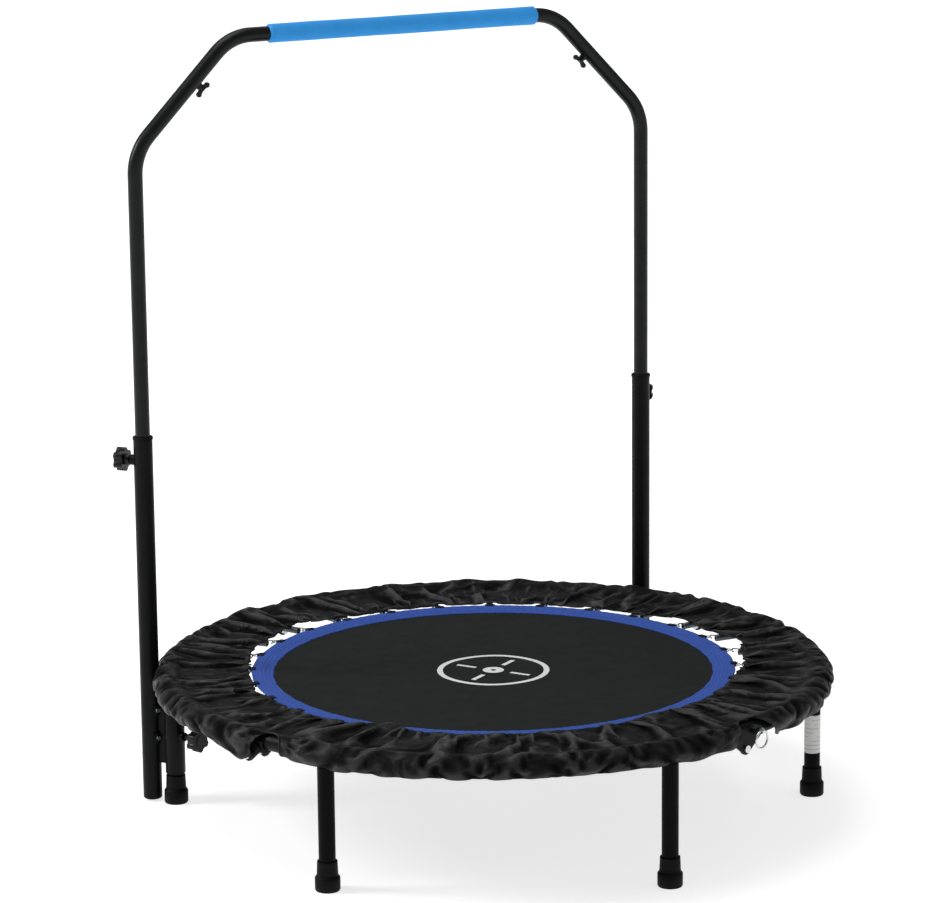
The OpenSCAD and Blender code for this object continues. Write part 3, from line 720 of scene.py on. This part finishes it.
def make_cover():
    """Gathered ring of thin cloth, from the elastic inner edge over the tube to the elastic hem under it.

    Returns its points, and how high each stands in its folds, from 0 in a valley to 1 on a ridge.
    """
    rng = np.random.default_rng(11)
    # the cover's section before it is gathered: radius and height
    knots = np.array([(.375, .2074), (.392, .2086), (.412, .2106), (.432, .2130), (.452, .2153),
                      (.466, .2169), (.4765, .2177), (.4865, .2164), (.4955, .2135), (.5030, .2080),
                      (.5080, .2010), (.5090, .1945), (.5065, .1885), (.5020, .1850), (.4960, .1834),
                      (.4915, .1824)])
    seg = np.concatenate([[0], np.cumsum(np.linalg.norm(np.diff(knots, axis=0), axis=1))])
    fine = np.linspace(0, seg[-1], 600)
    base = np.stack([np.interp(fine, seg, knots[:, 0]), np.interp(fine, seg, knots[:, 1])], -1)
    for _ in range(60):
        base[1:-1] = (base[:-2] + 2 * base[1:-1] + base[2:]) / 4
    crest = 0.108  # the length along the section at which the top ends and the skirt begins
    join = 0.440  # the radius beyond which the edge's swings don't reach
    top_share = 0.58  # of the points across
    waves = [(rng.integers(2, 9), rng.uniform(0, 6.283)) for _ in range(4)]
    ripple = [(rng.integers(60, 150), rng.uniform(0, 6.283)) for _ in range(8)]
    scallops = [(k, rng.uniform(0, 6.283)) for k in (17, 23, 31, 42, 55)]

    def lay(n, m):
        """Unfolded cloth, n points round and m across: points, lengths from both edges, side, edge radius."""
        a = np.arange(n) * 2 * math.pi / n
        hem_z = 0.1836 + 0.0005 * sum(np.sin(k * a + f) for k, f in waves)
        hem_z += 0.0009 * sum(np.sin(k * a + f) for k, f in scallops)
        for h, middle, before, after, top in OPENINGS:
            t = away(a, h) - middle
            arch = np.clip(1 - np.abs(t / np.where(t < 0, before, after)) ** 2.6, 0, None) ** 0.5
            hem_z = hem_z * (1 - arch) + top * arch
        on_side = fine > crest
        hem_at = np.interp(-hem_z, -base[on_side, 1], fine[on_side])
        q = np.linspace(0, 1, m)
        length = np.where(q < top_share, q / top_share * crest,
                          crest + (q - top_share) / (1 - top_share) * (hem_at[:, None] - crest))
        r, z = np.interp(length, fine, base[:, 0]), np.interp(length, fine, base[:, 1])
        edge_r = edge_radius(a) + 0.0005 * sum(np.sin(k * a + f) for k, f in ripple)
        stretch = ((join - edge_r) / (join - knots[0, 0]))[:, None]
        r = np.where(r < join, join - (join - r) * stretch, r)
        droop = 0.012 * np.exp(-((away(a, 195) + 0.020) / 0.018) ** 2)  # loose flap beside the left hinge
        z = z - droop[:, None] * ease((q - 0.80) / 0.20)
        aa = a[:, None]
        p = np.stack([r * np.cos(aa), r * np.sin(aa), z], -1)
        side = (length > crest).astype(float)
        return p, length * stretch.clip(0.9, 1.2), hem_at[:, None] - length, side, edge_r

    def fold(p, at, lean, bend, width, grow, height, start, stop, soft, along):
        """Height of one fold at every point: from angle at, along the lengths from one edge."""
        r, t = to_polar(p)
        x = ((t - at + math.pi) % (2 * math.pi) - math.pi) * r - lean * along - bend * along * along
        w = width + grow * along
        env = ease((along - start) / soft + 1) * ease((stop - along) / soft)
        return height * env * np.exp(-(np.sqrt(x * x + (0.35 * w) ** 2) - 0.35 * w) / w)

    def evenly(count, jitter):
        """Angles round the ring, each moved by up to that share of a step."""
        return (np.arange(count) + rng.uniform(-jitter, jitter, count)) * 2 * math.pi / count

    def normals(p):
        """Unit normals, which point out of the object."""
        v = np.cross(np.gradient(p, axis=1), np.roll(p, -1, 0) - np.roll(p, 1, 0))
        return v / np.maximum(np.linalg.norm(v, axis=-1, keepdims=True), 1e-9)

    def spread(d, n, m):
        """The same displacements on a finer grid."""
        n0, m0 = d.shape[:2]
        u = np.arange(n) * n0 / n
        i = u.astype(int)
        f = (u - i)[:, None, None]
        d = d[i] * (1 - f) + d[(i + 1) % n0] * f
        w = np.linspace(0, m0 - 1, m)
        j = np.minimum(w.astype(int), m0 - 2)
        f = (w - j)[None, :, None]
        return d[:, j] * (1 - f) + d[:, j + 1] * f

    # three grids, each finer than the last: points round and across, rounds to settle, smoothing
    moved = None
    for n, m, rounds, soft in ((360, 23, 140, 0.015), (720, 45, 80, 0.02), (1440, 56, 45, 0.035)):
        p, from_edge, from_hem, side, edge_r = lay(n, m)
        flat = p.copy()
        r, t = to_polar(flat)
        lift = np.zeros_like(r)
        if moved is None:
            for at in evenly(60, 0.48):  # long folds to the tube
                lift += fold(p, at, rng.uniform(-.5, .5), rng.uniform(-4, 4), rng.uniform(.006, .010), .04,
                             rng.uniform(.0040, .0090), 0, rng.uniform(.07, .18), .045, from_edge)
            for at in evenly(40, 0.5):  # hollows between them
                lift -= fold(p, at, rng.uniform(-.6, .6), rng.uniform(-4, 4), rng.uniform(.006, .010), .06,
                             rng.uniform(.0030, .0060), 0, rng.uniform(.06, .13), .05, from_edge)
            for at in evenly(30, 0.5):  # drag lines that cross the top at a slant
                lift += fold(p, at, rng.choice([-1, 1]) * rng.uniform(.8, 1.8), rng.uniform(-5, 5), .006, .02,
                             rng.uniform(.0020, .0050), .03, rng.uniform(.08, .14), .03, from_edge)
            for at in evenly(54, 0.5):  # long folds up the skirt
                lift += fold(p, at, rng.uniform(-.8, .8), rng.uniform(-6, 6), rng.uniform(.005, .009), .06,
                             rng.uniform(.0030, .0070), 0, rng.uniform(.040, .100), .03, from_hem)
        else:
            p = p + spread(moved, n, m)
            count, high = ((110, .0028), (170, .0022))[n > 720]
            for at in evenly(count, 0.45):  # puckers at the elastic edge
                lift += fold(flat, at, rng.uniform(-.4, .4), 0, rng.uniform(.003, .005), .05,
                             rng.uniform(.4, 1) * high, 0, rng.uniform(.022, .060), .030, from_edge)
            for at in evenly(count, 0.45):  # gathers at the hem
                lift += fold(flat, at, rng.uniform(-.6, .6), 0, rng.uniform(.003, .005), .08,
                             rng.uniform(.3, .8) * high, 0, rng.uniform(.018, .040), .020, from_hem)
            lift -= lift.mean()
        p = p + normals(p) * lift[..., None]
        # how much longer the cloth is than the circle it lies on, from the inner edge to the hem
        more = np.interp(from_edge, [0, .012, .03, .06, .09, .115, .14, .2],
                         [.46, .36, .24, .14, .080, .040, .045, .060])
        round_rest = 2 * math.pi * r / n * (1 + more)
        slack = np.where(side[:, 1:] > 0.5, 1.012, 1.035)
        across_rest = np.linalg.norm(np.diff(flat, axis=1), axis=2) * slack
        hem_r, hem_z, top_z = r[:, -1], flat[:, -1, 2], flat[:, 0, 2]

        def held(p):
            """Keeps both edges on their elastics, and the cloth from creeping round the ring."""
            for j, radius, z in ((0, edge_r, top_z), (m - 1, hem_r, hem_z)):
                now = np.maximum(np.hypot(p[:, j, 0], p[:, j, 1]), 1e-6)
                p[:, j, :2] *= (radius / now)[:, None]
                p[:, j, 2] += 0.25 * (z - p[:, j, 2])
            turn = np.arctan2(p[..., 1], p[..., 0]) - t  # no creep round the ring
            turn = ((turn + math.pi) % (2 * math.pi) - math.pi).mean(0, keepdims=True)
            c, s = np.cos(turn), np.sin(turn)
            return np.stack([p[..., 0] * c + p[..., 1] * s, p[..., 1] * c - p[..., 0] * s, p[..., 2]], -1)

        p = settle(p, round_rest, across_rest, side, held, rounds, soft)
        moved = p - flat
    for _ in range(2):
        p[:, 1:-1] += 0.12 * (p[:, 2:] + p[:, :-2] - 2 * p[:, 1:-1])
        p += 0.12 * (np.roll(p, 1, 0) + np.roll(p, -1, 0) - 2 * p)
    # a bead over the elastic, the stitched line behind it, and a bead at the hem
    edges = 0.0011 * np.sin(math.pi * np.clip(from_edge / 0.010, 0, 1))
    edges = edges - 0.0006 * np.exp(-((from_edge - .0105) / .0014) ** 2)
    edges = edges + 0.0009 * np.sin(math.pi * np.clip(from_hem / 0.011, 0, 1))
    p = keep_clear(p + normals(p) * edges[..., None], side)
    broad = p.copy()  # the same cloth with its folds smoothed away
    for _ in range(100):
        broad += 0.25 * (np.roll(broad, 1, 0) + np.roll(broad, -1, 0) - 2 * broad)
    whole_relief = 0.0050
    return p, np.clip(0.5 + ((p - broad) * normals(broad)).sum(-1) / whole_relief, 0, 1)


cover_points, relief = make_cover()
v, f = shell(cover_points, 0.0005)
cover = mesh("cover_cloth", v, f, "cover_black", uv=grid_uv(cover_points))
# how high each point stands in its folds; the cover's material paints shade into the valleys and highlights
# onto the ridges from it
heights = cover.data.attributes.new("relief", "FLOAT", "POINT")
heights.data.foreach_set("value", np.tile(relief.ravel(), 2).astype(np.float32))
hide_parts("cover_rear", "cover_front")
across_fold(cover)

# ---------------------------------------------------------------- foam grip


def make_grip():
    """Foam sleeve with rounded ends and a skin that isn't quite even."""
    low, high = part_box("foam_grip")
    n, m = 64, 150
    end_r, foam_r, bore_r = 0.0111, 0.0140, 0.01112
    s = np.linspace(0, 1, m)
    x = low.x + (high.x - low.x) * s
    end = np.minimum(x - low.x, high.x - x)
    rise = np.clip(1 - (1 - np.clip(end / 0.0022, 0, 1)) ** 2.4, 0, 1) ** 0.5
    radius = end_r + (foam_r - end_r) * rise
    radius = radius + 0.00012 * np.sin(31 * x) + 0.00008 * np.sin(83 * x + 1)
    a = np.arange(n) * 2 * math.pi / n
    aa, rr = np.meshgrid(a, radius, indexing="ij")
    rr = rr + 0.00008 * np.sin(3 * aa + 20 * x[None]) * (end > 0.004)
    cy, cz = (low.y + high.y) / 2, (low.z + high.z) / 2
    p = np.stack([np.broadcast_to(x, rr.shape), cy + rr * np.cos(aa), cz + rr * np.sin(aa)], -1)
    core = p.copy()
    core[..., 1], core[..., 2] = cy + bore_r * np.cos(aa), cz + bore_r * np.sin(aa)
    v = np.concatenate([p.reshape(-1, 3), core.reshape(-1, 3)])
    size = n * m
    i = np.arange(n)
    k = (i + 1) % n
    first = np.stack([i * m, k * m, k * m + size, i * m + size], -1)
    last = first + (m - 1)
    faces = np.concatenate([quads(n, m, True), quads(n, m, True, size, True), first[:, ::-1], last])
    o = mesh("grip_foam", v, faces, "grip_blue", "handlebar")
    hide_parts("foam_grip")


make_grip()

# ---------------------------------------------------------------- finishes of the carried-over parts

# how the names of the nodes with each look begin; the first that fits is taken
LOOK_OF = {
    "label_white": ("leg_label",),
    "tube_black": ("ring_arc_", "lower_post_", "clamp_bracket_"),
    "leg_black_shaded": ("leg_",),
    "tube_satin": ("upright_", "top_bar"),
    "hinge_black": ("hinge_bracket_", "hinge_tongue_"),
    "zinc": ("hinge_fasteners_", "pull_pin_", "pull_ring_", "bracket_screws", "mat_rings_"),
    "spring_steel": ("pin_spring_", "springs_"),
    "foot_rubber": ("foot_", "post_end_caps", "post_bushings"),
    "plastic_black": ("clamp_knob_", "height_knob_", "wing_screw_"),
}
for name, o in nodes.items():
    found = [look for look, starts in LOOK_OF.items() if name.startswith(starts)]
    if found:
        o.data.materials.clear()
        o.data.materials.append(LOOKS[found[0]])

RIVETS_ABOVE = 0.1885
for name in ("hinge_fasteners_rear", "hinge_fasteners_front"):  # the rivets are painted over with the plates
    data = nodes[name].data
    data.materials.append(LOOKS["hinge_black"])
    for face in data.polygons:
        if face.center.z > RIVETS_ABOVE:
            face.material_index = 1

# the width of the bevel on the edges of the nodes whose names begin so
ROUNDED = {"hinge_bracket_": 0.0004, "hinge_tongue_": 0.0002, "clamp_bracket_": 0.0005, "clamp_knob_": 0.0009,
           "height_knob_": 0.0009, "wing_screw_": 0.0007, "foot_": 0.0008, "post_bushings": 0.0004}
for name, o in nodes.items():
    for start, width in ROUNDED.items():
        if name.startswith(start) and not o.hide_render:
            weld = o.modifiers.new("Weld", "WELD")
            weld.merge_threshold = 0.00001
            b = o.modifiers.new("Bevel", "BEVEL")
            b.width, b.segments, b.limit_method, b.angle_limit = width, 2, "ANGLE", math.radians(40)

# ---------------------------------------------------------------- stage, light and camera

floor_data = bpy.data.meshes.new("floor")
corners = [(60 * x, 60 * y, 0) for x, y in ((-1, -1), (1, -1), (1, 1), (-1, 1))]
floor_data.from_pydata(corners, [], [(0, 1, 2, 3)])
floor = bpy.data.objects.new("floor", floor_data)
bpy.context.scene.collection.objects.link(floor)
floor_paint = material("floor_paint", (0.62, 0.62, 0.62), 0.6, Specular_IOR_Level=0.05,
                       Emission_Color=(1, 1, 1, 1))
# the floor glows a little less within a metre of the middle, so a soft shadow shows there
distance = add(floor_paint, "VectorMath", {0: place(floor_paint)}, operation="LENGTH").outputs["Value"]
tens = maths(floor_paint, "DIVIDE", distance, 10.0)
drive(floor_paint, "Emission Strength", ramp(floor_paint, tens, [(0.10, 0.74), (0.35, 1.0)]))
drive(floor_paint, "Roughness", ramp(floor_paint, noise(floor_paint, 3.0), [(0.3, 0.55), (0.7, 0.7)]))
floor_data.materials.append(floor_paint)

world = bpy.data.worlds.new("studio")
bpy.context.scene.world = world
world.use_nodes = True
world.node_tree.nodes["Background"].inputs["Color"].default_value = (0.97, 0.98, 1.0, 1)
world.node_tree.nodes["Background"].inputs["Strength"].default_value = 0.28


def softbox(name, at, look, size, power):
    """A rectangular lamp that looks at a point."""
    lamp = bpy.data.lights.new(name, "AREA")
    lamp.shape, lamp.size, lamp.size_y, lamp.energy = "RECTANGLE", size[0], size[1], power
    o = bpy.data.objects.new(name, lamp)
    o.location = at
    o.rotation_euler = (Vector(look) - Vector(at)).to_track_quat("-Z", "Y").to_euler()
    bpy.context.scene.collection.objects.link(o)


softbox("overhead", (-0.7, 0.6, 4.2), (0, 0, 0.2), (2.4, 2.4), 66)
softbox("key_left", (-3.8, 2.0, 3.0), (0, 0, 0.4), (1.2, 1.8), 118)
softbox("rim_back", (1.6, 3.8, 3.2), (0, 0, 0.4), (1.6, 1.0), 12)
softbox("fill_right", (3.4, -3.2, 2.2), (0, 0, 0.5), (0.9, 2.2), 8)

camera = bpy.data.cameras.new("camera")
camera.sensor_width, camera.lens = 36.0, 140.904
camera.clip_end = 200
cam = bpy.data.objects.new("camera", camera)
eye, target = Vector((-2.751, -4.624, 1.706)), Vector((-0.0209, 0.0123, 0.5358))
roll = math.radians(-0.55)
look = (target - eye).to_track_quat("-Z", "Y").to_matrix().to_4x4()
cam.matrix_world = Matrix.Translation(eye) @ look @ Matrix.Rotation(roll, 4, "Z")
bpy.context.scene.collection.objects.link(cam)
bpy.context.scene.camera = cam
bpy.context.scene.view_settings.view_transform = "Standard"
